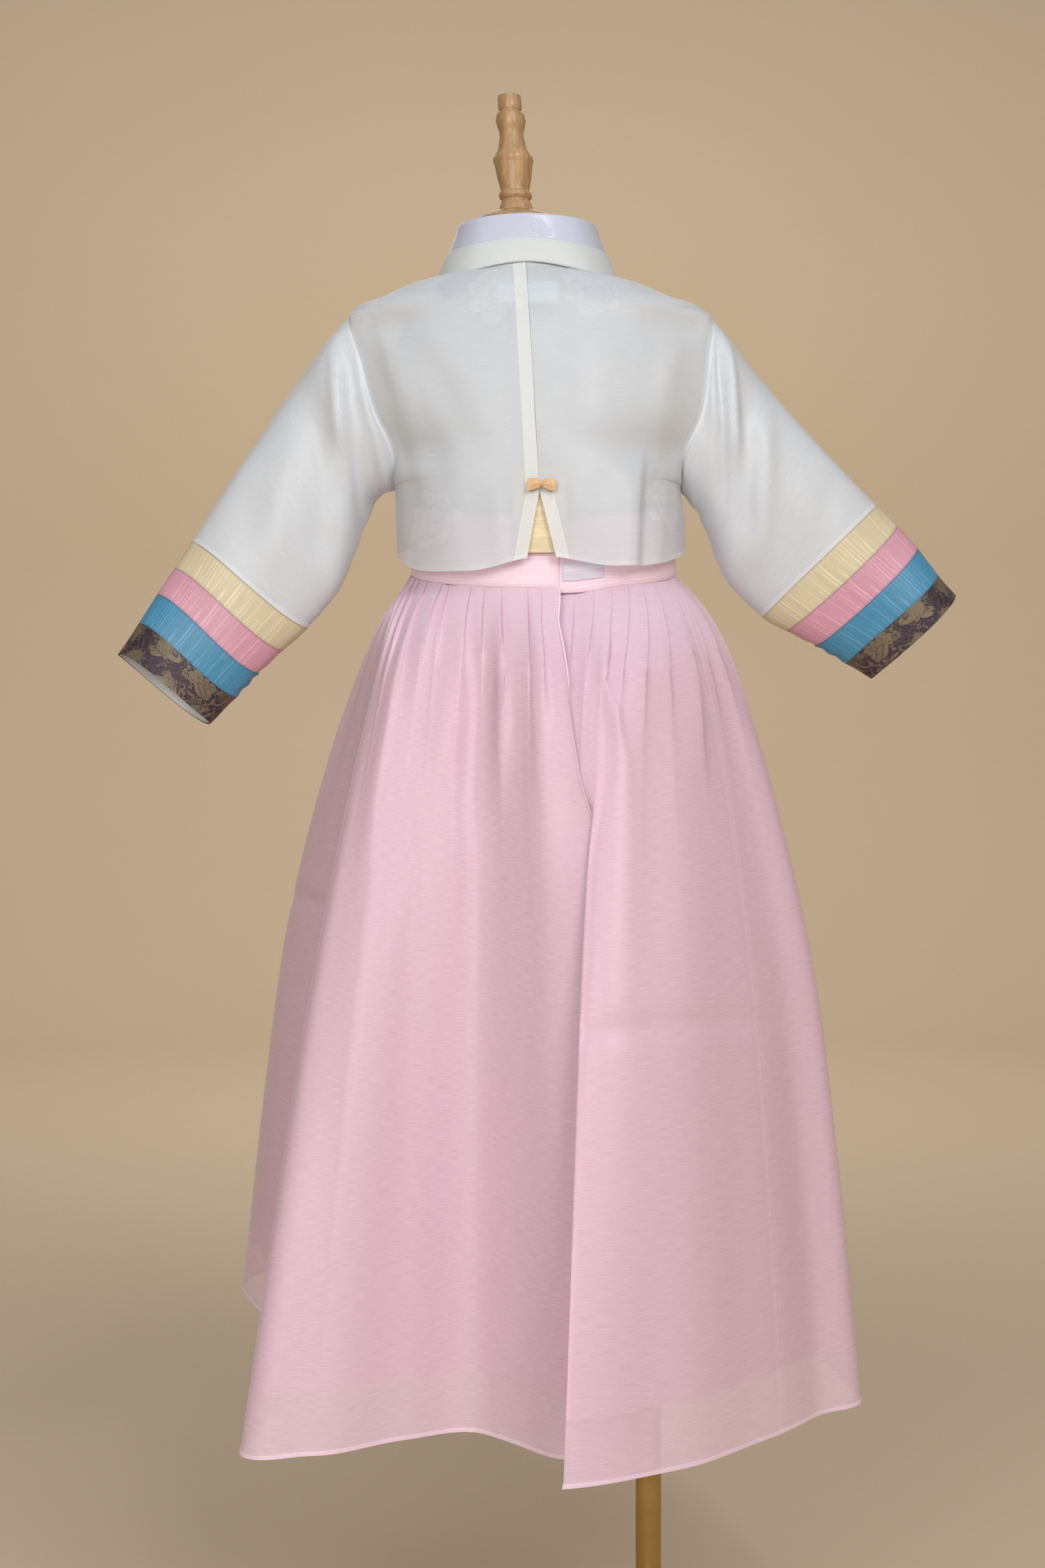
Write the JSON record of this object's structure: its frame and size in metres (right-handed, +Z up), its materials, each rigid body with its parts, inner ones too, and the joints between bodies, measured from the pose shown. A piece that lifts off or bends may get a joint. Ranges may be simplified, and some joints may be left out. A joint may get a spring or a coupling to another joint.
{
  "type": "korean hanbok on dress form",
  "caption": "Child's hanbok, a sheer short jacket with banded sleeves over a full pleated wrap skirt, on a limbless dress form with pole, round base and wooden finial.",
  "frame": {"origin": "middle of the base's underside, on the pole's axis", "axes": "+Z up; the garment's front faces -Y, so its back is towards +Y; the wearer's left is +X"},
  "size_m": [0.7158, 0.5194, 1.34],
  "materials": {
    "organza_white": "sheer off-white organza with a tone-on-tone figure",
    "organza_pink": "sheer pale pink slub organza over a pink lining",
    "yellow": "pale yellow slub silk",
    "pink": "pink slub silk",
    "blue": "blue slub silk",
    "brocade": "dark brocade with a dull gold flower figure",
    "cream": "cream organza, several layers",
    "satin": "pale lavender-white satin",
    "bow": "light orange ribbon",
    "label": "blank pale woven label",
    "form_cloth": "off-white cotton jersey over a padded form",
    "wood": "light turned wood, satin varnish",
    "brass": "brushed brass"
  },
  "bodies": {
    "root": {"base": "brass", "pole": "brass", "torso": "form_cloth", "neck_cap": "wood", "finial": "wood", "chima_back_left": "organza_pink", "chima_side_left": "organza_pink", "chima_side_right": "organza_pink", "chima_back_right": "organza_pink", "waistband": "organza_pink", "fastening_strip": "satin", "back_left": "organza_white", "back_right": "organza_white", "front_outer": "organza_white", "front_inner": "organza_white", "git": "cream", "satin_collar": "satin", "slit_underlay": "yellow", "back_bow": "bow", "neck_label": "label", "goreum_knot": "pink", "goreum_loop": "pink", "goreum_long": "pink", "goreum_short": "pink", "sleeve_left": "organza_white", "sleeve_left_yellow": "yellow", "sleeve_left_pink": "pink", "sleeve_left_blue": "blue", "sleeve_left_brocade": "brocade", "sleeve_right": "organza_white", "sleeve_right_yellow": "yellow", "sleeve_right_pink": "pink", "sleeve_right_blue": "blue", "sleeve_right_brocade": "brocade"}
  },
  "joints": []
}
